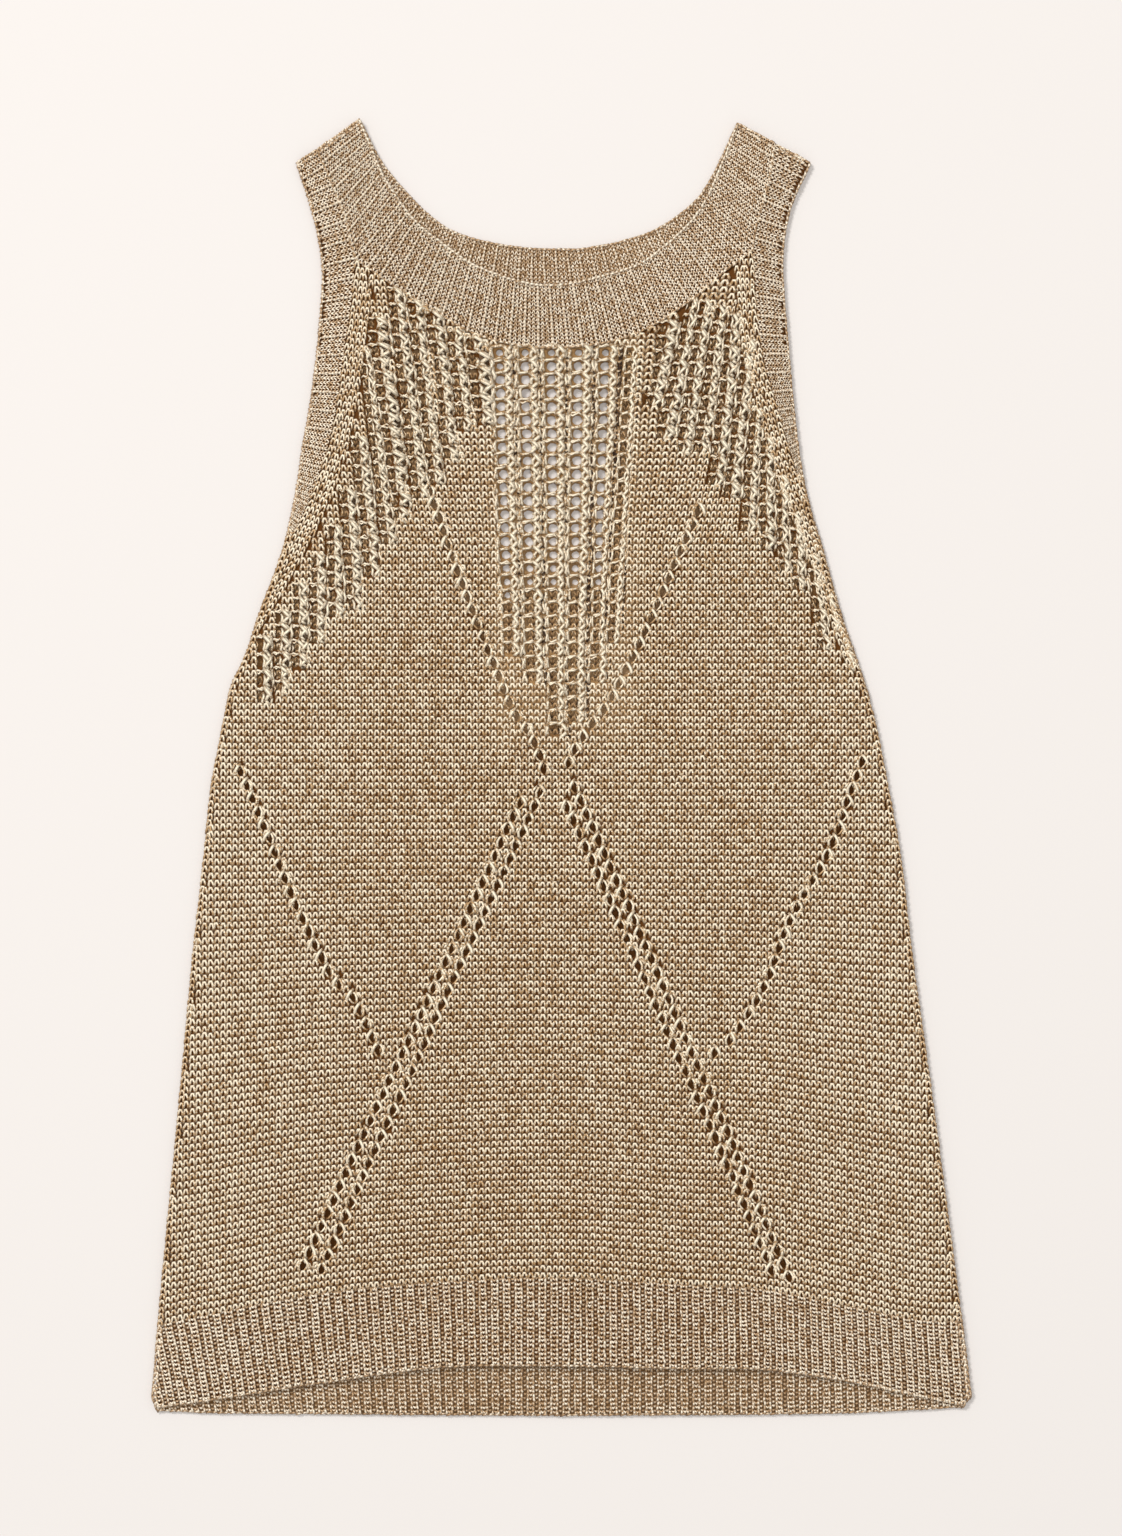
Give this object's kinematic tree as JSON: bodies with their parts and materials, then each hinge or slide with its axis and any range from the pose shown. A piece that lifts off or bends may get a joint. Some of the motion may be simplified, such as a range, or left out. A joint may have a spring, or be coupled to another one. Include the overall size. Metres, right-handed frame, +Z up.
{
  "type": "knit top",
  "caption": "Sleeveless metallic knit top laid flat, with a round ribbed neck, ribbed armholes, an openwork yoke, diagonal eyelet lines and a ribbed hem.",
  "frame": {"origin": "middle of the garment's outline, at the surface that its back lies on", "axes": "+Y from the hem towards the neck, +X to the right when its front is looked at from above with the neck up, +Z up out of the front"},
  "size_m": [0.4085, 0.6474, 0.0043],
  "materials": {
    "panel_knit": "openwork and plain knitting in a shiny gold-beige yarn",
    "rib_knit": "rib knitting in the same shiny gold-beige yarn"
  },
  "bodies": {
    "root": {"front": "panel_knit", "back": "panel_knit", "neckband_front": "rib_knit", "neckband_back": "rib_knit", "armhole_band_left_front": "rib_knit", "armhole_band_right_front": "rib_knit", "armhole_band_left_back": "rib_knit", "armhole_band_right_back": "rib_knit", "hem_front": "rib_knit", "hem_back": "rib_knit"}
  },
  "joints": []
}
